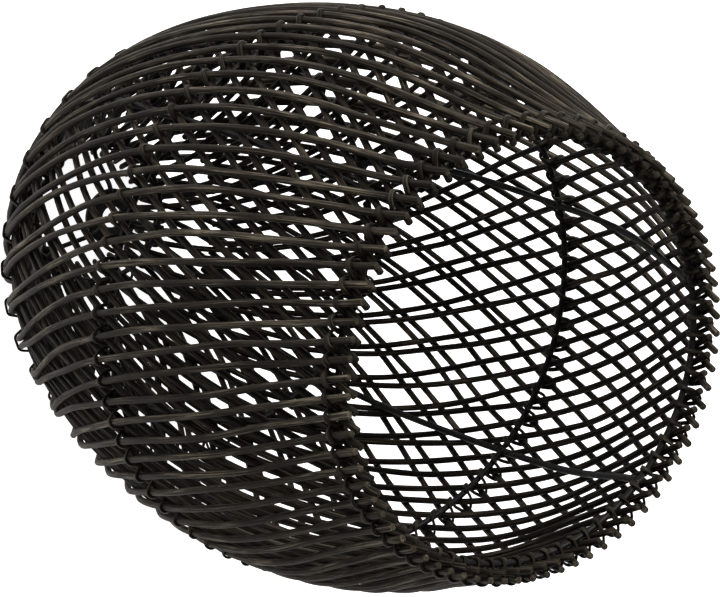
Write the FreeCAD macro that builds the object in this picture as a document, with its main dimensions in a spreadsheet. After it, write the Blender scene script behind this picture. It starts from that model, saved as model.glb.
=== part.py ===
import FreeCAD, Part
import math
import os

from FreeCAD import Vector

# Hanging shade woven from round cane, stood on its narrow end with the wide mouth up.
# Four hoops and six ribs of steel wire make the frame. Two layers of canes cross over it,
# leaning opposite ways, and on each hoop a strand of thin cane binds the crossings in turn.
# A washer on three wires sits inside the narrow end and carries the lamp.
# Millimetres. The axis is Z, and z = 0 is the plane of the trimmed cane ends.

doc = FreeCAD.newDocument("woven_shade")

SIZES = (
    # name, value, what it is
    ("cane_count", 76, "canes in each of the two layers"),
    ("cane_width", 3.5, "diameter of a weaving cane"),
    ("hoop_width", 3.0, "diameter of the steel wire bent into each hoop"),
    ("rib_width", 3.0, "diameter of the wire of the six upright ribs"),
    ("strand_width", 1.8, "diameter of the thin binding cane"),
    ("wire_width", 2.8, "diameter of the fitter's steel wires"),
    ("layer_gap", 0.3, "clearance between neighbouring canes"),
    ("lap_gap", 0.2, "clearance where hoops and ribs are let into each other"),
    ("foot_radius", 29.2, "frame radius at the trimmed narrow end"),
    ("foot_height", 0.0, "its height"),
    ("ring_radius", 40.3, "radius of the neck ring"),
    ("ring_height", 18.0, "its height"),
    ("dome_radius", 71.7, "frame radius halfway up the dome"),
    ("dome_height", 70.4, "its height"),
    ("shoulder_radius", 109.4, "radius of the shoulder hoop"),
    ("shoulder_height", 138.6, "its height"),
    ("waist_radius", 129.6, "frame radius between shoulder and belly"),
    ("waist_height", 214.4, "its height"),
    ("belly_radius", 134.6, "radius of the belly hoop, the widest"),
    ("belly_height", 287.5, "its height"),
    ("neck_radius", 125.3, "frame radius between belly and rim"),
    ("neck_height", 357.8, "its height"),
    ("rim_radius", 100.0, "radius of the rim hoop"),
    ("rim_height", 433.0, "its height"),
    ("tip_radius", 97.0, "frame radius at the cane tips above the rim"),
    ("tip_height", 446.5, "their height"),
    ("trim_height", 45.0, "height where every second cane is cut off inside the dome"),
    ("pair_spacing", 4.3, "distance between the two canes of a pair on the shoulder hoop"),
    ("run_length", 36.0, "longest arc in a bent cane"),
    ("washer_outer_radius", 16.5, "outer radius of the fitter washer"),
    ("washer_bore_radius", 6.25, "bore radius of the fitter washer"),
    ("washer_thickness", 2.0, "thickness of the fitter washer"),
    ("washer_height", 32.0, "height of the washer's lower face"),
)

sheet = doc.addObject("Spreadsheet::Sheet", "Sizes")
for row, (name, value, meaning) in enumerate(SIZES, start=1):
    sheet.set("A%d" % row, name)
    sheet.set("B%d" % row, str(value))
    sheet.set("C%d" % row, meaning)
    sheet.setAlias("B%d" % row, name)
doc.recompute()


def size(name):
    return float(getattr(sheet, name))


CANES = int(size("cane_count"))
PITCH = 360.0 / CANES
CANE_R = size("cane_width") / 2.0
HOOP_R = size("hoop_width") / 2.0
RIB_R = size("rib_width") / 2.0
STRAND_R = size("strand_width") / 2.0
WIRE_R = size("wire_width") / 2.0
GAP = size("layer_gap")
LAP = size("lap_gap")

# Distance of each layer outside the frame surface, which runs through the hoop centres.
INNER_LAYER = HOOP_R + GAP + CANE_R
OUTER_LAYER = INNER_LAYER + 2.0 * CANE_R + GAP

# The binding is even but not perfect: each hoop's ties wander by a slow wave in azimuth.
# First value: azimuth of tie 0. Then sine and cosine of once, twice and three times round.
TIE_WAVES = {
    "rim": (0.54, 0.27, 0.96, 0.39, 1.82, -1.17, -0.50),
    "belly": (3.55, -0.97, 0.30, -0.99, 0.90, 0.92, 0.14),
    "shoulder": (2.84, 0.77, -0.13, 0.88, -0.37, -0.28, -0.55),
    "ring": (1.60, 0.30, 0.20, 0.10, 0.20, 0.00, 0.00),
}
# Every cane is tied on the rim and belly hoops, every pair on the shoulder hoop. On the
# neck ring every second crossing is tied.
TIE_STEP = {"rim": 1, "belly": 1, "shoulder": 2, "ring": 4}
# Turn of a cane at each hoop, ring to rim, as a share of its average over the next bands.
# A cane keeps to the straightest course, so it turns faster where the shade narrows.
CANE_TURN = (1.0, 1.0, 0.85, 1.25)
# The tips above the rim were trimmed on a slant: full length at one side, shorter opposite.
SHORT_SIDE = 150.0
SHORT_BY = 4.0
RIB_SET_OVER = 0.6
RIB_AZIMUTHS = (-143.5, -83.5, -23.5, 36.5, 96.5, 154.5)
ARM_AZIMUTHS = (66.0, 186.0, 306.0)
CANES_PER_NODE = 4


# ---- the frame surface ------------------------------------------------------------------

LEVELS = ("foot", "ring", "dome", "shoulder", "waist", "belly", "neck", "rim", "tip")
profile = Part.BSplineCurve()
profile.interpolate([Vector(size(n + "_radius"), 0, size(n + "_height")) for n in LEVELS])
PROFILE_START = profile.FirstParameter


def along(name):
    """Distance up the profile, from the foot to a named level."""
    point = Vector(size(name + "_radius"), 0, size(name + "_height"))
    return profile.length(PROFILE_START, profile.parameter(point))


REACH = {name: along(name) for name in LEVELS}


class Station:
    """One level of the surface: radius, height, outward normal and upward tangent."""

    def __init__(self, reach):
        parameter = profile.parameterAtDistance(reach, PROFILE_START)
        point = profile.value(parameter)
        tangent = profile.tangent(parameter)[0]
        self.reach = reach
        self.radius, self.height = point.x, point.z
        self.rise = Vector(tangent.x, 0, tangent.z)
        self.normal = Vector(tangent.z, 0, -tangent.x)

    def frame(self, azimuth):
        """Point, outward normal, sideways and upward directions at an azimuth."""
        turn = FreeCAD.Rotation(Vector(0, 0, 1), azimuth)
        point = turn.multVec(Vector(self.radius, 0, self.height))
        side = turn.multVec(Vector(0, 1, 0))
        return point, turn.multVec(self.normal), side, turn.multVec(self.rise)

    def point(self, azimuth, layer):
        point, normal = self.frame(azimuth)[:2]
        return point + normal * layer


STATION_STEP = 8.0
steps = int(REACH["tip"] / STATION_STEP) + 1
STATIONS = [Station(REACH["tip"] * i / steps) for i in range(steps + 1)]
HOOPS = {name: Station(REACH[name]) for name in ("ring", "shoulder", "belly", "rim")}


def trim_reach():
    """Distance up the profile to the cut ends inside the dome."""
    for station in STATIONS:
        if station.height >= size("trim_height"):
            return station.reach
    return 0.0


# ---- where the ties are -----------------------------------------------------------------

def tie_azimuth(hoop, index):
    wave = TIE_WAVES[hoop]
    even = wave[0] + index * PITCH
    azimuth = even
    for turns in (1, 2, 3):
        angle = math.radians(even * turns)
        azimuth += wave[2 * turns - 1] * math.sin(angle) + wave[2 * turns] * math.cos(angle)
    return azimuth


def pair_offset(layer):
    """Half the angle between the two canes of a pair on the shoulder hoop."""
    station = HOOPS["shoulder"]
    radius = station.radius + station.normal.x * layer
    return math.degrees(size("pair_spacing") / 2.0 / radius)


# Index steps between hoops. Outer canes climb down one way round, inner canes the other.
OUTER = {"layer": OUTER_LAYER, "to_belly": 3, "to_shoulder": 9, "to_ring": 6}
INNER = {"layer": INNER_LAYER, "to_belly": -7, "to_shoulder": -12, "to_ring": -6}


def cane_knots(family, number):
    """Azimuth of one cane at each hoop, bottom to top, as (reach, azimuth) pairs."""
    place = number + family["to_shoulder"]
    pair, partner = place - place % 2, place % 2
    offset = pair_offset(family["layer"]) * (1 if partner else -1)
    ring_index = pair + family["to_ring"] + partner
    return [
        (REACH["ring"], tie_azimuth("ring", ring_index)),
        (REACH["shoulder"], tie_azimuth("shoulder", pair) + offset),
        (REACH["belly"], tie_azimuth("belly", number + family["to_belly"])),
        (REACH["rim"], tie_azimuth("rim", number)),
    ]


def smooth(knots, reach, turn=(1.0, 1.0, 1.0, 1.0)):
    """Cubic curve through the knots with matching slopes, straight past both ends."""
    slopes = [
        (b[1] - a[1]) / (b[0] - a[0])
        for a, b in zip(knots, knots[1:])
    ]
    tangents = [slopes[0]]
    for i in range(1, len(slopes)):
        before, after = knots[i][0] - knots[i - 1][0], knots[i + 1][0] - knots[i][0]
        tangents.append((slopes[i - 1] * after + slopes[i] * before) / (before + after))
    tangents.append(slopes[-1])
    tangents = [tangent * share for tangent, share in zip(tangents, turn)]
    if reach <= knots[0][0]:
        return knots[0][1] + tangents[0] * (reach - knots[0][0])
    if reach >= knots[-1][0]:
        return knots[-1][1] + tangents[-1] * (reach - knots[-1][0])
    for i in range(len(slopes)):
        if reach <= knots[i + 1][0]:
            width = knots[i + 1][0] - knots[i][0]
            t = (reach - knots[i][0]) / width
            return (
                (1 + 2 * t) * (1 - t) ** 2 * knots[i][1]
                + t * (1 - t) ** 2 * width * tangents[i]
                + t * t * (3 - 2 * t) * knots[i + 1][1]
                - t * t * (1 - t) * width * tangents[i + 1]
            )


def lean(knots, hoop, layer):
    """Sideways travel per unit of climb where a cane crosses a hoop."""
    step = 1.0
    reach = REACH[hoop]
    ahead, behind = (smooth(knots, reach + way * step, CANE_TURN) for way in (1, -1))
    radius = HOOPS[hoop].radius + HOOPS[hoop].normal.x * layer
    return math.radians(ahead - behind) * radius / (2 * step)


# ---- bending round stock ----------------------------------------------------------------

# Part of a run that the arc at each of its ends takes up, just under half.
ARC_SHARE = 0.49


def bent_path(corners, trims, closed=False):
    """Straight runs between the corners, joined by arcs tangent to both."""
    count = len(corners)
    bends = range(count) if closed else range(1, count - 1)
    arcs = []
    for i in bends:
        corner = corners[i]
        back = (corners[i - 1] - corner).normalize()
        ahead = (corners[(i + 1) % count] - corner).normalize()
        half = back.getAngle(ahead) / 2.0
        trim = trims[i]
        middle = (back + ahead).normalize()
        depth = trim / math.cos(half) - trim * math.tan(half)
        arcs.append((corner + back * trim, corner + middle * depth, corner + ahead * trim))
    edges = []
    if closed:
        here = arcs[-1][2]
    else:
        here = corners[0]
    for start, middle, end in arcs:
        edges.append(Part.LineSegment(here, start).toShape())
        edges.append(Part.Arc(start, middle, end).toShape())
        here = end
    if not closed:
        edges.append(Part.LineSegment(here, corners[-1]).toShape())
    return Part.Wire(edges)


def round_bar(path, radius):
    """Sweep a round section along a path and prove its volume."""
    first = path.Edges[0]
    start = first.valueAt(first.FirstParameter)
    direction = first.tangentAt(first.FirstParameter)
    section = Part.Face(Part.Wire(Part.makeCircle(radius, start, direction)))
    bar = path.makePipe(section)
    expected = math.pi * radius ** 2 * path.Length
    assert bar.isValid() and abs(bar.Volume / expected - 1) < 0.002
    return bar


def bent_along(points, radius):
    """A round bar that follows a smooth line of points with equal arcs."""
    guide = Part.BSplineCurve()
    guide.interpolate(points)
    length = guide.length()
    runs = int(math.ceil(length / size("run_length")))
    run = length / runs
    corners = [points[0]]
    for i in range(runs):
        parameter = guide.parameterAtDistance(run * (i + 0.5), guide.FirstParameter)
        speed, bend = guide.getDN(parameter, 1), guide.getDN(parameter, 2)
        along_path = speed * (bend.dot(speed) / speed.dot(speed))
        curvature = (bend - along_path) * (1.0 / speed.dot(speed))
        corners.append(guide.value(parameter) - curvature * (run * run / 8.0))
    corners.append(points[-1])
    return round_bar(bent_path(corners, [run * ARC_SHARE] * len(corners)), radius)


def node(label, shape):
    part = doc.addObject("Part::Feature", label)
    part.Label = label
    part.Shape = shape
    part.Placement = FreeCAD.Placement()
    return part


# ---- canes ------------------------------------------------------------------------------

FLOOR = Part.makeBox(400, 400, 60, Vector(-200, -200, -60))
TRIM_REACH = trim_reach()


def cane(family, number):
    knots = cane_knots(family, number)
    partner = (number + family["to_shoulder"]) % 2
    slant = (1 + math.cos(math.radians(knots[-1][1] - SHORT_SIDE))) / 2
    tip = Station(REACH["tip"] - SHORT_BY * slant)
    kept = [s for s in STATIONS if s.reach < tip.reach - STATION_STEP / 2]
    points = []
    for station in kept + [tip]:
        if partner and station.reach < TRIM_REACH:
            continue
        azimuth = smooth(knots, station.reach, CANE_TURN)
        points.append(station.point(azimuth, family["layer"]))
    bar = bent_along(points, CANE_R)
    return bar if partner else bar.cut(FLOOR)


parts = []
for name, family in (("outer_canes", OUTER), ("inner_canes", INNER)):
    for group in range(CANES // CANES_PER_NODE):
        first = group * CANES_PER_NODE
        bars = [cane(family, first + i) for i in range(CANES_PER_NODE)]
        parts.append(node("%s_%02d" % (name, group + 1), Part.makeCompound(bars)))


# ---- ribs and hoops, let into each other where they are welded --------------------------

def nearest_tie(hoop, azimuth):
    ties = [tie_azimuth(hoop, i) for i in range(0, CANES, TIE_STEP[hoop])]
    return min(ties, key=lambda tie: abs((tie - azimuth + 180) % 360 - 180))


def unwrapped(azimuth, near):
    return near + (azimuth - near + 180) % 360 - 180


def rib_knots(azimuth):
    """A rib crosses each hoop inside a tie, set over a little on the rim where ties crowd."""
    knots = [
        (REACH[hoop], unwrapped(nearest_tie(hoop, azimuth), azimuth))
        for hoop in ("ring", "shoulder", "belly", "rim")
    ]
    reach, top = knots[-1]
    knots[-1] = (reach, top - math.degrees(RIB_SET_OVER / size("rim_radius")))
    return knots


def notch(hoop, azimuth, half_width, half_length, low, high):
    """A block at a joint: sideways, along the rib, and across the frame surface."""
    point, normal, side, rise = HOOPS[hoop].frame(azimuth)
    block = Part.makeBox(
        2 * half_width, 2 * half_length, high - low,
        Vector(-half_width, -half_length, low),
    )
    block.Placement = FreeCAD.Placement(
        point, FreeCAD.Rotation(side, rise, normal, "ZXY")
    )
    return block


RIB_STATIONS = 50
rib_low = REACH["ring"] - HOOP_R
rib_high = REACH["rim"] + HOOP_R
all_rib_knots = [rib_knots(azimuth) for azimuth in RIB_AZIMUTHS]
rib_stations = [
    Station(rib_low + (rib_high - rib_low) * i / RIB_STATIONS)
    for i in range(RIB_STATIONS + 1)
]
for i, knots in enumerate(all_rib_knots, start=1):
    points = [s.point(smooth(knots, s.reach), 0.0) for s in rib_stations]
    bar = bent_along(points, RIB_R)
    for hoop, (reach, azimuth) in zip(("ring", "shoulder", "belly", "rim"), knots):
        deep = 2 * RIB_R + 1
        bar = bar.cut(notch(hoop, azimuth, deep, HOOP_R + LAP, -deep, LAP / 2))
    parts.append(node("rib_%d" % i, bar))

for place, (hoop, label) in enumerate((
    ("ring", "neck_ring"), ("shoulder", "shoulder_hoop"),
    ("belly", "belly_hoop"), ("rim", "rim_hoop"),
)):
    round_hoop = doc.addObject("Part::Torus", label + "_round")
    round_hoop.setExpression("Radius1", "Sizes.%s_radius" % hoop)
    round_hoop.setExpression("Radius2", "Sizes.hoop_width / 2")
    round_hoop.setExpression("Placement.Base.z", "Sizes.%s_height" % hoop)
    blocks = []
    for knots in all_rib_knots:
        high = 2 * HOOP_R + 1
        blocks.append(notch(hoop, knots[place][1], RIB_R + LAP, high, -LAP / 2, high))
    notches = doc.addObject("Part::Feature", label + "_notches")
    notches.Shape = Part.makeCompound(blocks)
    halved = doc.addObject("Part::Cut", label)
    halved.Base = round_hoop
    halved.Tool = notches
    halved.Label = label
    parts.append(halved)


# ---- binding ----------------------------------------------------------------------------

STRAND_CLEAR = GAP + STRAND_R
STRAND_SLACK = 0.3
BAND_HALF = 1.9
BAND_START = -0.2
TOP_HALF = 2.3


def place(hoop, azimuth, sideways, up, out):
    """A point beside a hoop: distances round it, towards the rim and out of the surface."""
    station = HOOPS[hoop]
    turn = math.degrees(sideways / (station.radius + station.normal.x * out))
    point, normal, _, rise = station.frame(azimuth + turn)
    return point + rise * up + normal * out


def crossing_canes(hoop, index):
    """Numbers of the outer and inner canes that cross at a tie."""
    steps = {
        "rim": (0, 0),
        "belly": (OUTER["to_belly"], INNER["to_belly"]),
        "shoulder": (OUTER["to_shoulder"], INNER["to_shoulder"]),
        "ring": (
            OUTER["to_shoulder"] + OUTER["to_ring"],
            INNER["to_shoulder"] + INNER["to_ring"],
        ),
    }[hoop]
    return index - steps[0], index - steps[1]


def lashing(hoop):
    """One strand of thin cane wound round a hoop and over every crossing on it.

    Outside, each turn slants over the outer cane. Its legs pass through the open corners
    beside the crossing, and inside it runs straight across the hoop to the next tie.
    """
    spread = size("pair_spacing") / 2.0 if hoop == "shoulder" else 0.0
    up = HOOP_R + STRAND_CLEAR + STRAND_SLACK
    need = spread + CANE_R + STRAND_CLEAR
    top = OUTER_LAYER + CANE_R + STRAND_CLEAR
    shoulder_out = INNER_LAYER + STRAND_R
    ties = []
    for index in range(0, CANES, TIE_STEP[hoop]):
        inner = crossing_canes(hoop, index)[1]
        tilt = math.atan(abs(lean(cane_knots(INNER, inner), hoop, INNER_LAYER)))
        across = (need + up * math.sin(tilt)) / math.cos(tilt)
        ties.append((tie_azimuth(hoop, index), max(across, RIB_R + STRAND_CLEAR)))
    corners = []
    leg_radius = HOOPS[hoop].radius + HOOPS[hoop].normal.x * BAND_START
    for i, (azimuth, across) in enumerate(ties):
        next_azimuth, next_across = ties[(i + 1) % len(ties)]
        if i + 1 == len(ties):
            next_azimuth += 360
        half_top = (spread + TOP_HALF) / math.hypot(across, up)
        for way in (-1, 1):
            turn = [
                (way * across, way * up, BAND_START),
                (way * across, way * up, shoulder_out),
                (way * across * half_top, way * up * half_top, top),
            ]
            for sideways, rise, out in turn[::-way]:
                corners.append(place(hoop, azimuth, sideways, rise, out))
        leave = azimuth + math.degrees(across / leg_radius)
        arrive = next_azimuth - math.degrees(next_across / leg_radius)
        for part_way, rise in ((0.3, BAND_HALF), (0.7, -BAND_HALF)):
            band = leave + (arrive - leave) * part_way
            corners.append(place(hoop, band, 0.0, rise, -up))
    return round_bar(bent_path(corners, [STRAND_BEND] * len(corners)), STRAND_R)


STRAND_BEND = 1.4
for hoop, label in (
    ("ring", "neck_lashing"), ("shoulder", "shoulder_lashing"),
    ("belly", "belly_lashing"), ("rim", "rim_lashing"),
):
    parts.append(node(label, lashing(hoop)))


# ---- lamp fitter ------------------------------------------------------------------------

disc = doc.addObject("Part::Cylinder", "washer_disc")
disc.setExpression("Radius", "Sizes.washer_outer_radius")
disc.setExpression("Height", "Sizes.washer_thickness")
disc.setExpression("Placement.Base.z", "Sizes.washer_height")
bore = doc.addObject("Part::Cylinder", "washer_bore")
bore.setExpression("Radius", "Sizes.washer_bore_radius")
bore.setExpression("Height", "Sizes.washer_thickness + 2")
bore.setExpression("Placement.Base.z", "Sizes.washer_height - 1")
washer = doc.addObject("Part::Cut", "fitter_washer")
washer.Base = disc
washer.Tool = bore
washer.Label = "fitter_washer"
parts.append(washer)

# Each wire lies on the washer, drops to the mouth side of the neck ring and rests there.
ARM_START = size("washer_bore_radius") + 2.5
ARM_KNEE = size("washer_outer_radius") + 2.5
ARM_ANKLE = size("ring_radius") - 5.5
ARM_END = size("ring_radius") + 1.8
ARM_BESIDE_TIE = 6.8
ARM_BEND = 2.2
arm_top = size("washer_height") + size("washer_thickness") + GAP + WIRE_R
arm_low = size("ring_height") + HOOP_R + GAP + WIRE_R
for i, azimuth in enumerate(ARM_AZIMUTHS, start=1):
    turn = FreeCAD.Rotation(Vector(0, 0, 1), nearest_tie("ring", azimuth) - ARM_BESIDE_TIE)
    corners = [
        turn.multVec(Vector(radius, 0, height))
        for radius, height in (
            (ARM_START, arm_top), (ARM_KNEE, arm_top),
            (ARM_ANKLE, arm_low), (ARM_END, arm_low),
        )
    ]
    path = bent_path(corners, [ARM_BEND] * len(corners))
    parts.append(node("fitter_arm_%d" % i, round_bar(path, WIRE_R)))


# ---- check and write --------------------------------------------------------------------

doc.recompute()
for item in doc.Objects:
    assert not {"Invalid", "Error"} & set(item.State), item.Name
for part in parts:
    assert not part.Shape.isNull() and part.Shape.isValid(), part.Label
    assert len(part.Shape.Solids) >= 1, part.Label

os.makedirs("parts", exist_ok=True)
for part in parts:
    part.Shape.exportStep("parts/%s.step" % part.Label)
print("wrote", len(parts), "parts,", sum(len(p.Shape.Solids) for p in parts), "solids")
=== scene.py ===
import math

import bpy
import numpy as np
from mathutils import Matrix, Vector


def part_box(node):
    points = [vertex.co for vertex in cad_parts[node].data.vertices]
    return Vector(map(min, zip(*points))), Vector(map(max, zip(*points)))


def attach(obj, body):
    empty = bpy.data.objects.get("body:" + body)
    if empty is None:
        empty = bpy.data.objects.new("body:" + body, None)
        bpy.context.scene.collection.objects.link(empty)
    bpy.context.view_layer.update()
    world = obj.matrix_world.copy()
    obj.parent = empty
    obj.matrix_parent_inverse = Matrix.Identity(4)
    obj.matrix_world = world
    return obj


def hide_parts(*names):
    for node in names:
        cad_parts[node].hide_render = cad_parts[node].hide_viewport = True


# Woven cane shade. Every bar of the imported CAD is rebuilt: canes with grain, uneven thickness
# and cut ends, hoops and ribs as painted wire, and each lashing as a flat strand. The washer
# and its arms keep the CAD's shape. Metres, in the CAD's own frame. Each piece draws from a
# seed of its own, so a change to one leaves the others as they are.

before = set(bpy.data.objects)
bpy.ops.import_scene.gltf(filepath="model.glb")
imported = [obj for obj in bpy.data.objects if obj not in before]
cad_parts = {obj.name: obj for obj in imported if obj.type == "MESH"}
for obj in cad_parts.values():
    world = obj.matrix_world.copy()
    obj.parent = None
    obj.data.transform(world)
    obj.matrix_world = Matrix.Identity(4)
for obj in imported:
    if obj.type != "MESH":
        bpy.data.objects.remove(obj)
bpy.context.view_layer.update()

MM = 0.001
TINY = 1e-12

# Radii of the CAD's bars, and how far each cane layer lies outside the hoops' centre lines.
CANE_R = 1.75 * MM
HOOP_R = 1.5 * MM
RIB_R = 1.5 * MM
LAYER_GAP = 0.3 * MM
INNER_LAYER = HOOP_R + LAYER_GAP + CANE_R
OUTER_LAYER = INNER_LAYER + 2 * CANE_R + LAYER_GAP

HOOPS = {"neck": "neck_ring", "shoulder": "shoulder_hoop", "belly": "belly_hoop", "rim": "rim_hoop"}

# Spacing of the points along each kind of bar.
STEP = 3 * MM
RIB_STEP = 0.75 * MM
HOOP_STEP = 1.5 * MM


def unit(v):
    """Each vector at length 1."""
    return v / np.maximum(np.linalg.norm(v, axis=-1, keepdims=True), TINY)


def wrapped(angle):
    """The same angle between -pi and pi."""
    return np.angle(np.exp(1j * angle))


def along_line(line):
    """Distance of each point from the line's start, measured along it."""
    return np.concatenate([[0.0], np.cumsum(np.linalg.norm(np.diff(line, axis=0), axis=1))])


# ---- reading the CAD --------------------------------------------------------------------

SAME_POINT = 0.002 * MM


def solids_of(node):
    """Vertices and outward normals of each separate solid in a CAD node."""
    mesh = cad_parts[node].data
    points = np.zeros(len(mesh.vertices) * 3)
    mesh.vertices.foreach_get("co", points)
    points = points.reshape(-1, 3)
    mesh.calc_loop_triangles()
    faces = np.zeros(len(mesh.loop_triangles) * 3, np.int32)
    mesh.loop_triangles.foreach_get("vertices", faces)
    faces = faces.reshape(-1, 3)

    # Vertices in one place are joined.
    keys = np.round(points / SAME_POINT).astype(np.int64)
    _, first, merged = np.unique(keys, axis=0, return_index=True, return_inverse=True)
    points = points[first]
    faces = merged.reshape(-1)[faces]

    # Vertices joined by a face take the lowest label among them, until each solid has just one.
    label = np.arange(len(points))
    while True:
        new = label.copy()
        lowest = label[faces].min(axis=1)
        for corner in range(3):
            np.minimum.at(new, faces[:, corner], lowest)
        new = new[new]
        if np.array_equal(new, label):
            break
        label = new

    a, b, c = (points[faces[:, k]] for k in range(3))
    area = np.cross(b - a, c - a)
    normals = np.zeros_like(points)
    for corner in range(3):
        np.add.at(normals, faces[:, corner], area)
    normals = unit(normals)
    return [(points[label == k], normals[label == k]) for k in np.unique(label)]


LEAST_SPANS = 8


def resample(points, slopes, step):
    """Evenly spaced points on the cubic curve through points with the given unit directions."""
    along = along_line(points)
    spans = max(LEAST_SPANS, int(round(along[-1] / step)))
    at = np.linspace(0.0, along[-1], spans + 1)
    i = np.clip(np.searchsorted(along, at, side="right") - 1, 0, len(along) - 2)
    width = (along[i + 1] - along[i])[:, None]
    t = (at - along[i])[:, None] / width
    return (
        (1 + 2 * t) * (1 - t) ** 2 * points[i]
        + t * (1 - t) ** 2 * width * slopes[i]
        + t * t * (3 - 2 * t) * points[i + 1]
        - t * t * (1 - t) * width * slopes[i + 1]
    )


# A new ring of vertices starts after this much rise, and has at least so many of them.
RING_SPLIT = 0.5 * MM
RING_LEAST = 6
# Lengths left out beside a bar's ends and beside its notches, in radii.
END_CLEAR = 2
NOTCH_CLEAR = 4


def bar_line(solid, radius, skip=()):
    """Centre line of an upright round bar, bottom to top, leaving out its notches.

    The bar's vertices lie in rings. All normals of a ring meet on the centre line, and the
    line's direction is the one square to them.
    """
    points, normals = solid
    low, high = points[:, 2].min(), points[:, 2].max()
    keep = (points[:, 2] > low + END_CLEAR * radius) & (points[:, 2] < high - END_CLEAR * radius)
    for height in skip:
        keep &= abs(points[:, 2] - height) > NOTCH_CLEAR * radius
    centres, across = (points - normals * radius)[keep], normals[keep]
    order = np.argsort(centres[:, 2])
    centres, across = centres[order], across[order]
    splits = np.nonzero(np.diff(centres[:, 2]) > RING_SPLIT)[0] + 1
    line, slopes = [], []
    for ring, sides in zip(np.split(centres, splits), np.split(across, splits)):
        if len(ring) < RING_LEAST:
            continue
        direction = np.linalg.svd(sides, full_matrices=False)[2][-1]
        line.append(np.median(ring, axis=0))
        slopes.append(direction * np.sign(direction[2]))
    line, slopes = np.array(line), np.array(slopes)
    below, above = points[:, 2] < line[0, 2], points[:, 2] > line[-1, 2]
    first = line[0] + slopes[0] * ((points - line[0]) @ slopes[0])[below].min()
    last = line[-1] + slopes[-1] * ((points - line[-1]) @ slopes[-1])[above].max()
    line = np.vstack([first, line, last])
    slopes = np.vstack([slopes[:1], slopes, slopes[-1:]])
    return resample(line, slopes, STEP)


# ---- building bars ----------------------------------------------------------------------

# Each octave is shorter and weaker than the last by OCTAVE_RATIO. Together they reach OCTAVE_SUM.
OCTAVES = 3
OCTAVE_RATIO = 1.9
OCTAVE_SUM = 1.8


def waves(s, rng, longest, amount):
    """A slow random wave along a bar, between about -amount and amount."""
    total = np.zeros_like(s)
    for octave in range(OCTAVES):
        shrink = OCTAVE_RATIO ** octave
        length = longest / shrink
        total += np.sin(2 * math.pi * (s / length + rng.random())) / shrink
    return total * amount / OCTAVE_SUM


def outward_of(line):
    """Direction square to the line that points away from the axis."""
    tangent = unit(np.gradient(line, axis=0))
    radial = line.copy()
    radial[:, 2] = 0.0
    radial = unit(radial)
    return unit(radial - tangent * (radial * tangent).sum(axis=1)[:, None])


# Each bar takes its grain from its own place in this length of stock.
STOCK_LENGTH = 9.0
# A cut end, in radii: the worn edge's size, how far that stands out, and how far the middle does.
WORN_EDGE = 0.86
EDGE_RISE = 0.12
MIDDLE_RISE = 0.05


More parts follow.
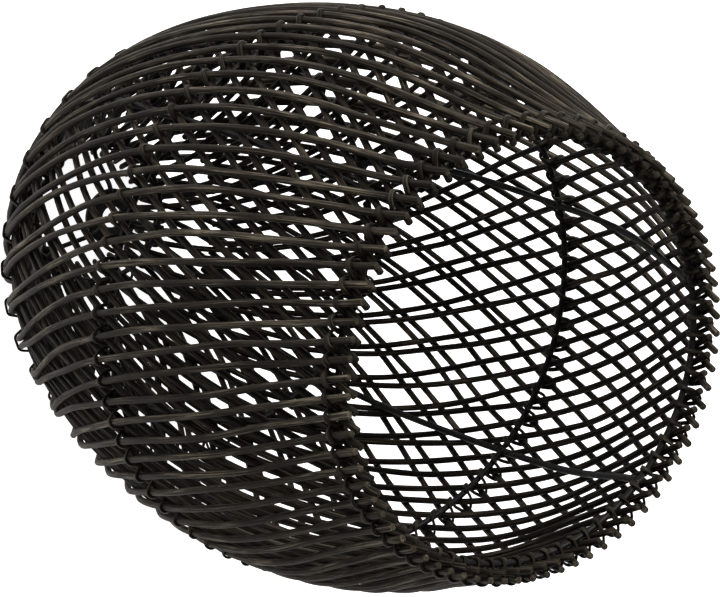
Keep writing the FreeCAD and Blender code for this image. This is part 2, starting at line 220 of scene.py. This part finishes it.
class Bars:
    """Bars gathered into one mesh, with the data that their material reads."""

    def __init__(self, sides):
        self.sides = sides
        self.points, self.faces, self.grain, self.tone, self.cut = [], [], [], [], []
        self.count = 0

    def add(self, line, outward, thick, wide, rng, square=2.0, closed=False, low=None, high=None):
        """One bar. thick and wide are its half sizes along outward and across it.

        A larger square makes the section more like a box. low and high limit it along
        outward. A bar whose line starts on z = 0 is cut off level there.
        """
        n, k = len(line), self.sides
        tangent = unit(np.gradient(line, axis=0))
        if closed:
            tangent = unit(np.roll(line, -1, axis=0) - np.roll(line, 1, axis=0))
        outward = unit(outward - tangent * (outward * tangent).sum(axis=1)[:, None])
        side = np.cross(tangent, outward)
        angle = 2 * math.pi * (np.arange(k) + 0.5) / k
        x, y = (np.sign(f) * abs(f) ** (2 / square) for f in (np.cos(angle), np.sin(angle)))
        x = np.broadcast_to(x, (n, k)) * np.broadcast_to(thick, n)[:, None]
        y = np.broadcast_to(y, (n, k)) * np.broadcast_to(wide, n)[:, None]
        if low is not None:
            x = np.maximum(x, low[:, None])
        if high is not None:
            x = np.minimum(x, high[:, None])
        rings = line[:, None] + outward[:, None] * x[..., None] + side[:, None] * y[..., None]
        s = along_line(line)
        start = rng.random() * STOCK_LENGTH
        grain = np.stack([np.broadcast_to((s + start)[:, None], (n, k)), x, y], axis=-1)
        tone = rng.random()

        if line[0, 2] == 0.0:
            rings[0] -= tangent[0] * (rings[0][:, 2] / tangent[0, 2])[:, None]
        here = self.count
        ring = here + np.arange(n)[:, None] * k + np.arange(k)
        below, above = (ring, np.roll(ring, -1, axis=0)) if closed else (ring[:-1], ring[1:])
        turned_below, turned_above = np.roll(below, -1, axis=1), np.roll(above, -1, axis=1)
        quads = np.stack([below, turned_below, turned_above, above], axis=-1).reshape(-1, 4)
        self.faces += quads.tolist()
        self.points.append(rings.reshape(-1, 3))
        self.grain.append(grain.reshape(-1, 3))
        self.cut.append(np.zeros(n * k))
        self.count += n * k
        if not closed:
            for row, sign in ((0, -1), (n - 1, 1)):
                self.cap(rings[row], ring[row], tangent[row] * sign, grain[row], sign)
        self.tone.append(np.full(self.count - here, tone))

    def cap(self, ring, numbers, direction, grain, sign):
        """A sawn end: a worn edge, then a slightly dished face, never below z = 0."""
        k = self.sides
        middle = ring.mean(axis=0)
        size = np.linalg.norm(ring - middle, axis=1).mean()
        edge = middle + (ring - middle) * WORN_EDGE + direction * size * EDGE_RISE
        centre = middle + direction * size * MIDDLE_RISE
        edge[:, 2] = np.maximum(edge[:, 2], 0.0)
        centre[2] = max(centre[2], 0.0)
        rim = self.count + np.arange(k)
        self.points += [edge, centre[None]]
        self.grain += [grain, grain.mean(axis=0)[None]]
        self.cut.append(np.ones(k + 1))
        for i in range(k):
            j = (i + 1) % k
            band = [numbers[i], numbers[j], rim[j], rim[i]]
            face = [rim[i], rim[j], self.count + k]
            self.faces.append([int(v) for v in (band if sign > 0 else band[::-1])])
            self.faces.append([int(v) for v in (face if sign > 0 else face[::-1])])
        self.count += k + 1

    def piece(self, name, material, slot, *nodes):
        """Makes the mesh, which takes the place of the CAD nodes."""
        points = np.concatenate(self.points)
        mesh = bpy.data.meshes.new(name)
        mesh.from_pydata(points.tolist(), [], self.faces)
        mesh.polygons.foreach_set("use_smooth", np.ones(len(mesh.polygons), bool))
        grain = mesh.attributes.new("grain", "FLOAT_VECTOR", "POINT")
        grain.data.foreach_set("vector", np.concatenate(self.grain).ravel())
        for label, values in (("tone", self.tone), ("cut", self.cut)):
            layer = mesh.attributes.new(label, "FLOAT", "POINT")
            layer.data.foreach_set("value", np.concatenate(values))
        mesh.materials.append(material)
        mesh.update()
        obj = bpy.data.objects.new(name, mesh)
        bpy.context.scene.collection.objects.link(obj)
        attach(obj, "root")
        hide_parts(*nodes)


# ---- materials --------------------------------------------------------------------------

class Nodes:
    """Short names for building a node tree."""

    def __init__(self, name):
        self.material = bpy.data.materials.new(name)
        self.material.use_nodes = True
        self.tree = self.material.node_tree
        self.tree.nodes.clear()
        self.shader = self.add("ShaderNodeBsdfPrincipled")
        output = self.add("ShaderNodeOutputMaterial")
        self.link(self.shader.outputs[0], output.inputs["Surface"])

    def add(self, kind, **settings):
        node = self.tree.nodes.new(kind)
        for key, value in settings.items():
            setattr(node, key, value)
        return node

    def link(self, source, target):
        self.tree.links.new(source, target)

    def attribute(self, name):
        """A value that Bars stored with the mesh."""
        return self.add("ShaderNodeAttribute", attribute_name=name)

    def stretched(self, source, scale, offset=0.0):
        """The source with its own scale along each axis, so that a noise on it is drawn out."""
        mapping = self.add("ShaderNodeMapping")
        mapping.inputs["Scale"].default_value = scale
        mapping.inputs["Location"].default_value = (offset, 0, 0)
        self.link(source, mapping.inputs["Vector"])
        return mapping.outputs[0]

    def noise(self, source, scale=1.0, detail=3.0, rough=0.5):
        node = self.add("ShaderNodeTexNoise")
        node.inputs["Scale"].default_value = scale
        node.inputs["Detail"].default_value = detail
        node.inputs["Roughness"].default_value = rough
        self.link(source, node.inputs["Vector"])
        return node.outputs["Fac"]

    def spread(self, source, low, high, to_low=0.0, to_high=1.0):
        """Takes low to to_low and high to to_high, and keeps to that range."""
        node = self.add("ShaderNodeMapRange")
        sockets = ("From Min", "From Max", "To Min", "To Max")
        for key, value in zip(sockets, (low, high, to_low, to_high)):
            node.inputs[key].default_value = value
        self.link(source, node.inputs["Value"])
        return node.outputs["Result"]

    def maths(self, operation, a, b):
        node = self.add("ShaderNodeMath", operation=operation)
        for socket, value in zip(node.inputs, (a, b)):
            if isinstance(value, (int, float)):
                socket.default_value = value
            else:
                self.link(value, socket)
        return node.outputs[0]

    def mix(self, amount, a, b):
        """Colour a, or colour b as amount rises to 1."""
        node = self.add("ShaderNodeMix", data_type="RGBA")
        self.link(amount, node.inputs[0])
        for socket, value in ((node.inputs[6], a), (node.inputs[7], b)):
            if isinstance(value, tuple):
                socket.default_value = (*value, 1.0)
            else:
                self.link(value, socket)
        return node.outputs[2]

    def bump(self, height, distance, strength=1.0, before=None):
        node = self.add("ShaderNodeBump")
        node.inputs["Distance"].default_value = distance
        node.inputs["Strength"].default_value = strength
        self.link(height, node.inputs["Height"])
        if before is not None:
            self.link(before, node.inputs["Normal"])
        return node.outputs[0]


# Grain of cane. Each noise runs along the bar and across it, in cells a metre. The fibres'
# cells across come with the material, and hairs and pores are finer than those.
FIBRES_ALONG = 32
HAIRS_ALONG = 75
HAIRS_FINER = 2.4
PORES_ALONG = 190
PORES_FINER = 1.6
PATCHES = (20, 130, 130)
CANE_SPECULAR = 0.035


def cane_material(name, dark, mid, streak, roughness, fibre, groove):
    """Stained cane. Fibres run with the bar, broken by pores and rubbed spots."""
    m = Nodes(name)
    grain = m.attribute("grain").outputs["Vector"]
    tone = m.attribute("tone").outputs["Fac"]
    cut = m.attribute("cut").outputs["Fac"]
    hair, pore = HAIRS_FINER * fibre, PORES_FINER * fibre
    fibres = m.noise(m.stretched(grain, (FIBRES_ALONG, fibre, fibre)), rough=0.6)
    hairs = m.noise(m.stretched(grain, (HAIRS_ALONG, hair, hair), offset=3.0), detail=2.0)
    patches = m.noise(m.stretched(grain, PATCHES, offset=7.0))
    pores = m.noise(m.stretched(grain, (PORES_ALONG, pore, pore), offset=11.0), detail=2.0)

    rubbed = m.spread(patches, 0.34, 0.66, to_low=0.25, to_high=1.25)
    ridge = m.spread(fibres, 0.42, 0.66)
    bright = m.maths("MULTIPLY", m.maths("ADD", ridge, m.maths("MULTIPLY", tone, 0.30)), rubbed)
    colour = m.mix(m.spread(bright, 0.02, 0.62), dark, mid)
    colour = m.mix(m.spread(m.maths("MULTIPLY", bright, hairs), 0.26, 0.66), colour, streak)
    colour = m.mix(m.spread(pores, 0.60, 0.70), colour, dark)
    pale_end = m.spread(hairs, 0.35, 0.75, to_low=0.0, to_high=0.20)
    colour = m.mix(m.maths("MULTIPLY", cut, pale_end), colour, streak)
    m.link(colour, m.shader.inputs["Base Color"])

    m.shader.inputs["Specular IOR Level"].default_value = CANE_SPECULAR
    rough = m.spread(patches, 0.3, 0.7, to_low=roughness - 0.08, to_high=roughness + 0.10)
    m.link(rough, m.shader.inputs["Roughness"])
    ridges = m.bump(fibres, groove, strength=0.9)
    fine_ridges = m.bump(hairs, groove * 0.4, strength=0.7, before=ridges)
    m.link(fine_ridges, m.shader.inputs["Normal"])
    return m.material


CLOUDS = 160.0
SPECKS = 1400.0
WORN_PAINT = (0.055, 0.048, 0.046)
STEEL_SPECULAR = 0.14


def steel_material(name, dark, light, roughness):
    """Dark paint on steel wire: cloudy tone, fine specks and small worn spots."""
    m = Nodes(name)
    place_on = m.add("ShaderNodeTexCoord").outputs["Object"]
    cloud = m.noise(place_on, CLOUDS, detail=4.0)
    speck = m.noise(place_on, SPECKS, detail=2.0)
    worn = m.spread(m.maths("MULTIPLY", cloud, speck), 0.34, 0.42)
    colour = m.mix(m.spread(cloud, 0.3, 0.7), dark, light)
    m.link(m.mix(worn, colour, WORN_PAINT), m.shader.inputs["Base Color"])
    rough = m.spread(cloud, 0.3, 0.7, to_low=roughness - 0.06, to_high=roughness + 0.10)
    m.link(rough, m.shader.inputs["Roughness"])
    m.shader.inputs["Specular IOR Level"].default_value = STEEL_SPECULAR
    m.link(m.bump(speck, 0.04 * MM, strength=0.4), m.shader.inputs["Normal"])
    return m.material


CANE = cane_material(
    "stained_cane",
    dark=(0.0085, 0.0067, 0.0053), mid=(0.0385, 0.0315, 0.0235), streak=(0.160, 0.134, 0.096),
    roughness=0.58, fibre=1300.0, groove=0.30 * MM,
)
# Painted shade: the inner layer is the same stained cane at about half the brightness, so the
# inside of the wall stays dark where little light reaches.
SHADED_INNER_CANE = cane_material(
    "cane_inner_painted_shade",
    dark=(0.0070, 0.0056, 0.0045), mid=(0.0195, 0.0158, 0.0118), streak=(0.082, 0.067, 0.048),
    roughness=0.58, fibre=1300.0, groove=0.30 * MM,
)
BINDING = cane_material(
    "binding_cane",
    dark=(0.0080, 0.0065, 0.0051), mid=(0.0270, 0.0226, 0.0168), streak=(0.100, 0.086, 0.062),
    roughness=0.45, fibre=1600.0, groove=0.10 * MM,
)
FRAME_STEEL = steel_material(
    "frame_paint", dark=(0.0040, 0.0033, 0.0031), light=(0.0068, 0.0058, 0.0053), roughness=0.50,
)
FITTER_STEEL = steel_material(
    "fitter_paint", dark=(0.0060, 0.0058, 0.0058), light=(0.0120, 0.0115, 0.0108), roughness=0.38,
)


# ---- canes ------------------------------------------------------------------------------

def hoop_size(node):
    """Radius and height of a hoop's centre line."""
    low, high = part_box(node)
    return (high.x - low.x) / 2 - HOOP_R, (high.z + low.z) / 2


RING = {name: hoop_size(node) for name, node in HOOPS.items()}
HEIGHTS = [height for _, height in RING.values()]

# A cane that starts below FOOT_REACH stands on the ground. Its points below FOOT_ROOM are redone.
FOOT_REACH = 2 * MM
FOOT_ROOM = 2.4 * MM


def footed(line):
    """Ends a line on the plane z = 0 if it reaches that low, with room for the slanted cut."""
    if line[0, 2] > FOOT_REACH:
        return line
    above = line[line[:, 2] > FOOT_ROOM]
    direction = above[0] - above[1]
    foot = above[0] - direction * (above[0, 2] / direction[2])
    foot[2] = 0.0
    return np.vstack([foot, above])


# Between hoops a cane strays. It holds its course for TIED beside each hoop, then loosens over
# LOOSENS. The lengths are those of the longest wave.
TIED = 6 * MM
LOOSENS = 40 * MM
STRAY_SIDEWAYS = 1.7 * MM
STRAY_OUTWARDS = 0.12 * MM
STRAY_LENGTH = 0.34
LIFT_LENGTH = 0.20


def wander(line, rng):
    """Hand work: between hoops a cane strays a little from its even course."""
    free = np.ones(len(line))
    for height in HEIGHTS:
        free *= np.clip((abs(line[:, 2] - height) - TIED) / LOOSENS, 0, 1)
    s = along_line(line)
    outward = outward_of(line)
    side = np.cross(unit(np.gradient(line, axis=0)), outward)
    line = line + side * (waves(s, rng, STRAY_LENGTH, STRAY_SIDEWAYS) * free)[:, None]
    return line + outward * (waves(s, rng, LIFT_LENGTH, STRAY_OUTWARDS) * free)[:, None]


# Canes are a little under gauge. Their width and roundness vary by up to UNEVEN along them.
CANE_SHRINK = 0.955
UNEVEN = 0.035
WIDTH_LENGTH = 0.09
OVAL_LENGTH = 0.13
CANE_SIDES = 12

lines = {"outer": [], "inner": []}
for family, material in (("outer", CANE), ("inner", SHADED_INNER_CANE)):
    for node in sorted(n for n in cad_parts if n.startswith(family + "_canes")):
        rng = np.random.default_rng([len(lines["outer"]), len(lines["inner"])])
        bars = Bars(CANE_SIDES)
        for solid in solids_of(node):
            line = bar_line(solid, CANE_R)
            lines[family].append(line)
            line = footed(wander(line, rng))
            s = np.arange(len(line)) * STEP
            radius = CANE_R * (CANE_SHRINK + waves(s, rng, WIDTH_LENGTH, UNEVEN))
            oval = 1 + waves(s, rng, OVAL_LENGTH, UNEVEN)
            bars.add(line, outward_of(line), radius * oval, radius / oval, rng)
        bars.piece(node + "_cane", material, "cane", node)


# ---- frame: hoops and ribs --------------------------------------------------------------

FINE_POINTS = 9


def distance_from(hoop, points):
    """How far points lie from a hoop's centre line."""
    radius, height = RING[hoop]
    return np.hypot(np.hypot(points[:, 0], points[:, 1]) - radius, points[:, 2] - height)


def crossing(line, hoop):
    """Where a line passes nearest a hoop: that point, and the line's direction.

    None if that point is one of the line's ends, or is far from the hoop.
    """
    i = int(np.argmin(distance_from(hoop, line)))
    if i < 1 or i > len(line) - 2:
        return None
    halves = (line[i - 1], line[i]), (line[i], line[i + 1])
    fine = np.vstack([np.linspace(start, end, FINE_POINTS) for start, end in halves])
    off = distance_from(hoop, fine)
    j = int(np.argmin(off))
    return (fine[j], unit(line[i + 1] - line[i - 1])) if off[j] < 2 * OUTER_LAYER else None


def azimuth(point):
    """Angle round the axis."""
    return math.atan2(point[1], point[0])


def wall_normal(hoop):
    """The wall's outward normal at a hoop, as (radial, upward)."""
    radius, height = RING[hoop]
    tilt = []
    for line in lines["outer"]:
        found = crossing(line, hoop)
        if found:
            x, y, z = found[0]
            tilt.append((math.hypot(x, y) - radius, z - height))
    return unit(np.mean(tilt, axis=0))


NORMAL = {hoop: wall_normal(hoop) for hoop in HOOPS}


def place(hoop, angle, up, out):
    """A point beside a hoop: towards the rim, and out of the surface."""
    radius, height = RING[hoop]
    radial, rise = NORMAL[hoop]
    r = radius + out * radial - up * rise
    return np.array([r * math.cos(angle), r * math.sin(angle), height + out * rise + up * radial])


def radius_at(hoop, out):
    """Distance from the axis of a place beside a hoop."""
    return RING[hoop][0] + out * NORMAL[hoop][0]


RIBS = ["rib_%d" % number for number in range(1, 7)]
rib_lines = {node: bar_line(solids_of(node)[0], RIB_R, skip=HEIGHTS) for node in RIBS}

# Ribs are a heavier wire than hoops. low and high take half of each bar away at a joint, where
# the two still overlap a little. FULL is any distance beyond the section.
RIB_SWELL = 1.17
RIB_UNEVEN = 0.02
RIB_LENGTH = 0.12
RIB_SIDES = 14
FULL = 1.0

for number, (node, line) in enumerate(rib_lines.items()):
    rng = np.random.default_rng([number, 1])
    fine = resample(line, unit(np.gradient(line, axis=0)), RIB_STEP)
    s = np.arange(len(fine)) * RIB_STEP
    low = np.full(len(fine), -FULL)
    for hoop in HOOPS:
        low[distance_from(hoop, fine) < HOOP_R + LAYER_GAP] = 0.0
    radius = RIB_R * (RIB_SWELL + waves(s, rng, RIB_LENGTH, RIB_UNEVEN))
    bars = Bars(RIB_SIDES)
    bars.add(fine, outward_of(fine), radius, radius, rng, low=low)
    bars.piece(node + "_wire", FRAME_STEEL, "frame_steel", node)

HOOP_SWELL = 1.06
HOOP_UNEVEN = 0.02
HOOP_WAVES = (5, 11)
HOOP_SIDES = 16
NOTCH_CLEARANCE = 0.5 * MM

for number, (hoop, node) in enumerate(HOOPS.items()):
    rng = np.random.default_rng([number, 2])
    radius = RING[hoop][0]
    count = int(2 * math.pi * radius / HOOP_STEP)
    angles = 2 * math.pi * np.arange(count) / count
    line = np.array([place(hoop, a, 0.0, 0.0) for a in angles])
    outward = np.array([place(hoop, a, 0.0, 1.0) - place(hoop, a, 0.0, 0.0) for a in angles])
    high = np.full(count, FULL)
    for rib in rib_lines.values():
        # Ribs start at the neck ring and end at the rim hoop.
        found = crossing(rib, hoop)
        near = found[0] if found else rib[0 if hoop == "neck" else -1]
        turn = wrapped(angles - azimuth(near))
        high[abs(turn) * radius < RIB_R + NOTCH_CLEARANCE] = 0.0
    swell = np.sin(angles * HOOP_WAVES[0] + number) * np.sin(angles * HOOP_WAVES[1])
    size = HOOP_R * (HOOP_SWELL + HOOP_UNEVEN * swell)
    bars = Bars(HOOP_SIDES)
    bars.add(line, outward, size, size, rng, closed=True, high=high)
    bars.piece(node + "_wire", FRAME_STEEL, "frame_steel", node)


# ---- lashings ---------------------------------------------------------------------------

# The strand's half sizes, and how far the corners of its course lie from what it wraps, with
# STRAND_SLACK more at the hoop. The finished strand still cuts in a little.
STRIP_THICK = 0.70 * MM
STRIP_WIDE = 1.30 * MM
STRAND_CLEAR = STRIP_THICK + 0.02 * MM
STRAND_SLACK = 0.15 * MM
# The corners at a tie lie beside the canes and over their tops, with legs that end LEG_RISE
# past the inner canes' middles. Each tie reaches and slips a little unevenly.
SIDE_ROOM = 0.1 * MM
TOP_SINK = 0.08 * MM
TOP_HALF = 1.7 * MM
LEG_RISE = 0.6 * MM
REACH_UNEVEN = 0.05
SLIP = 0.5 * MM
# A corner faces away from the tie's middle, taken this share as far out as the corner is.
CORE_SHARE = 0.75
# The strand's course between ties, inside the hoop.
BAND_START = -0.2 * MM
BAND_HALF = 1.7 * MM
BAND_WAY = 0.3
# A corner is rounded over CORNER_TRIM, or CORNER_SHARE of its run if that is shorter.
CORNER_TRIM = 1.7 * MM
CORNER_SHARE = 0.45
CORNER_STEPS = (0.0, 0.33, 0.67, 1.0)
CORNER_FACING = 0.8
# Where the CAD's strand passes over a tie, and how near it has to be to count.
TIE_TOP = OUTER_LAYER + CANE_R + 1.2 * MM
TIE_NEAR = 2.6 * MM


def tied(hoop, node):
    """Crossings that the CAD's strand passes over, in order round the hoop."""
    points = np.concatenate([p for p, _ in solids_of(node)])
    found = []
    for line in lines["outer"]:
        hit = crossing(line, hoop)
        if not hit:
            continue
        top = place(hoop, azimuth(hit[0]), 0.0, TIE_TOP)
        if np.linalg.norm(points - top, axis=1).min() < TIE_NEAR:
            found.append(azimuth(hit[0]))
    return sorted(found)


def pairs(angles):
    """The middles of neighbouring ties taken two by two, starting after the widest gap."""
    gaps = np.diff(angles + [angles[0] + 2 * math.pi])
    first = (int(np.argmax(gaps)) + 1) % len(angles)
    turned = angles[first:] + [a + 2 * math.pi for a in angles[:first]]
    return [(a + b) / 2 for a, b in zip(turned[::2], turned[1::2])]


def lean(hoop, angle):
    """How far the nearest inner cane leans from upright at a tie."""
    best = min(
        (hit for hit in (crossing(line, hoop) for line in lines["inner"]) if hit),
        key=lambda hit: abs(wrapped(azimuth(hit[0]) - angle)),
    )
    around = np.array([-math.sin(angle), math.cos(angle), 0.0])
    return math.asin(abs(float(best[1] @ around)))


def strand(hoop, ties, spread, rng):
    """Corners of the lashing's course, and the way its flat side faces at each."""
    up = HOOP_R + STRAND_CLEAR + STRAND_SLACK
    need = spread + CANE_R + STRAND_CLEAR + SIDE_ROOM
    top = OUTER_LAYER + CANE_R + STRAND_CLEAR - TOP_SINK
    leans = [lean(hoop, angle) for angle in ties]
    reach = [(need + up * math.sin(tilt)) / math.cos(tilt) for tilt in leans]
    corners, faces = [], []

    def corner(at, rise, out, core_at):
        point = place(hoop, at, rise, out)
        core = place(hoop, core_at, 0.0, max(0.0, out * CORE_SHARE))
        corners.append(point)
        faces.append(point - core)

    count = len(ties)
    for i, angle in enumerate(ties):
        following = ties[(i + 1) % count] + (2 * math.pi if i + 1 == count else 0.0)
        across = reach[i] * (1 + REACH_UNEVEN * rng.standard_normal())
        slip = SLIP * rng.standard_normal()
        half_top = (spread + TOP_HALF) / math.hypot(across, up)
        leg = [(1.0, BAND_START), (1.0, INNER_LAYER + LEG_RISE), (half_top, top)]
        for way in (-1, 1):
            for share, out in leg[::-way]:
                sideways = way * across * share + slip * share * way
                at = angle + sideways / radius_at(hoop, out)
                corner(at, way * up * share, out, angle)
        leave = angle + across / radius_at(hoop, BAND_START)
        arrive = following - reach[(i + 1) % count] / radius_at(hoop, BAND_START)
        for part_way, rise in ((BAND_WAY, BAND_HALF), (1 - BAND_WAY, -BAND_HALF)):
            at = leave + (arrive - leave) * part_way
            corner(at, rise, -up, at)
    return np.array(corners), unit(np.array(faces))


def rounded(corners, faces):
    """The course with each corner rounded, and the way the strand faces along it."""
    runs = np.diff(corners, axis=0)
    lengths = np.linalg.norm(runs, axis=1)
    course, facing = [corners[0]], [faces[0]]
    for i in range(1, len(corners) - 1):
        before, after = (min(CORNER_TRIM, CORNER_SHARE * lengths[k]) for k in (i - 1, i))
        start = corners[i] - runs[i - 1] * before / lengths[i - 1]
        end = corners[i] + runs[i] * after / lengths[i]
        for t in CORNER_STEPS:
            course.append((1 - t) ** 2 * start + 2 * t * (1 - t) * corners[i] + t * t * end)
            side = faces[i - 1] if t < 0.5 else faces[i + 1]
            facing.append(faces[i] * CORNER_FACING + side * (1 - CORNER_FACING))
    return np.array(course + [corners[-1]]), np.array(facing + [faces[-1]])


# The shoulder's canes are tied in pairs, each this far from the pair's middle.
PAIR_SPREAD = 2.15 * MM
STRAND_STEP = 0.8 * MM
STRAND_LENGTH = 0.05
STRAND_UNEVEN = 0.10
STRAND_SIDES = 8
STRAND_SQUARE = 3.2

for number, hoop in enumerate(HOOPS):
    node = hoop + "_lashing"
    rng = np.random.default_rng([number, 3])
    ties = tied(hoop, node)
    spread = 0.0
    if hoop == "shoulder":
        ties, spread = pairs(ties), PAIR_SPREAD
    corners, faces = strand(hoop, ties, spread, rng)
    course, facing = rounded(corners, faces)
    s = np.arange(len(course)) * STRAND_STEP
    wide = STRIP_WIDE * (1 + waves(s, rng, STRAND_LENGTH, STRAND_UNEVEN))
    bars = Bars(STRAND_SIDES)
    bars.add(course, facing, STRIP_THICK, wide, rng, square=STRAND_SQUARE)
    bars.piece(node + "_strand", BINDING, "binding", node)


# ---- fitter -----------------------------------------------------------------------------

for node in ("fitter_washer", "fitter_arm_1", "fitter_arm_2", "fitter_arm_3"):
    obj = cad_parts[node]
    obj.data.materials.clear()
    obj.data.materials.append(FITTER_STEEL)


# ---- floor, light and camera ------------------------------------------------------------

FLOOR_HALF = 6.0
FLOOR_DROP = 0.2 * MM
FLOOR_CLOUDS = 3.0
FLOOR_SHADE = 0.985
FLOOR_ROUGHNESS = 0.9


def stage_material(name, colour, glow):
    """Matt white floor that glows like a light table."""
    m = Nodes(name)
    place_on = m.add("ShaderNodeTexCoord").outputs["Object"]
    cloud = m.noise(place_on, FLOOR_CLOUDS, detail=2.0)
    shaded = tuple(c * FLOOR_SHADE for c in colour)
    m.link(m.mix(cloud, colour, shaded), m.shader.inputs["Base Color"])
    m.shader.inputs["Roughness"].default_value = FLOOR_ROUGHNESS
    m.shader.inputs["Specular IOR Level"].default_value = 0.0
    m.shader.inputs["Emission Color"].default_value = (1.0, 1.0, 1.0, 1.0)
    m.shader.inputs["Emission Strength"].default_value = glow
    return m.material


floor_mesh = bpy.data.meshes.new("floor")
floor_corners = ((-1, -1), (1, -1), (1, 1), (-1, 1))
floor_mesh.from_pydata(
    [(x * FLOOR_HALF, y * FLOOR_HALF, -FLOOR_DROP) for x, y in floor_corners],
    [], [(0, 1, 2, 3)],
)
floor_mesh.materials.append(stage_material("pale_floor", colour=(0.90, 0.90, 0.90), glow=0.92))
floor = bpy.data.objects.new("floor", floor_mesh)
bpy.context.scene.collection.objects.link(floor)

WORLD_STRENGTH = 0.20

world = bpy.data.worlds.new("studio")
bpy.context.scene.world = world
world.use_nodes = True
background = world.node_tree.nodes["Background"]
background.inputs["Color"].default_value = (1.0, 1.0, 1.0, 1.0)
background.inputs["Strength"].default_value = WORLD_STRENGTH

# The camera's tilt is from the shade's axis and its roll is about the line of sight, which
# passes VIEW_ASIDE beside the rim's centre, in metres along across and along raised.
RIM_CENTRE = Vector((0.0, 0.0, RING["rim"][1]))
VIEW_TILT = math.radians(35.06)
VIEW_ROLL = math.radians(108.07)
VIEW_DISTANCE = 1.200
VIEW_ASIDE = (0.0004, -0.0783)
FOCAL_LENGTH = 131.95
CLIP_END = 50.0

# toward points from the object to the camera. right and upward are the picture's own.
toward = Vector((math.sin(VIEW_TILT), 0.0, math.cos(VIEW_TILT)))
raised = (Vector((0, 0, 1)) - toward * toward.z).normalized()
across = (-toward).cross(raised)
right = across * math.cos(VIEW_ROLL) + raised * math.sin(VIEW_ROLL)
upward = raised * math.cos(VIEW_ROLL) - across * math.sin(VIEW_ROLL)
eye = RIM_CENTRE + toward * VIEW_DISTANCE + across * VIEW_ASIDE[0] + raised * VIEW_ASIDE[1]

camera_data = bpy.data.cameras.new("camera")
camera_data.lens = FOCAL_LENGTH
camera_data.clip_end = CLIP_END
camera = bpy.data.objects.new("camera", camera_data)
bpy.context.scene.collection.objects.link(camera)
rotation = Matrix((right, upward, toward)).transposed()
camera.matrix_world = Matrix.Translation(eye) @ rotation.to_4x4()
bpy.context.scene.camera = camera


MIDDLE = Vector((0.0, 0.0, 0.22))
AIM = Vector((0.0, 0.0, 0.2))


def area_light(name, place_at, size, power):
    """A square lamp that faces the object."""
    data = bpy.data.lights.new(name, "AREA")
    data.energy = power
    data.size = size
    lamp = bpy.data.objects.new(name, data)
    bpy.context.scene.collection.objects.link(lamp)
    lamp.location = place_at
    lamp.rotation_mode = "QUATERNION"
    lamp.rotation_quaternion = (AIM - lamp.location).to_track_quat("-Z", "Y")


key_place = MIDDLE + upward * 1.5 + toward * 1.7 + right * 1.2
fill_place = MIDDLE + toward * 1.8 - upward * 1.0 - right * 0.8
area_light("key", key_place, size=1.1, power=92.0)
area_light("fill", fill_place, size=1.6, power=2.5)

bpy.context.scene.view_settings.view_transform = "Standard"
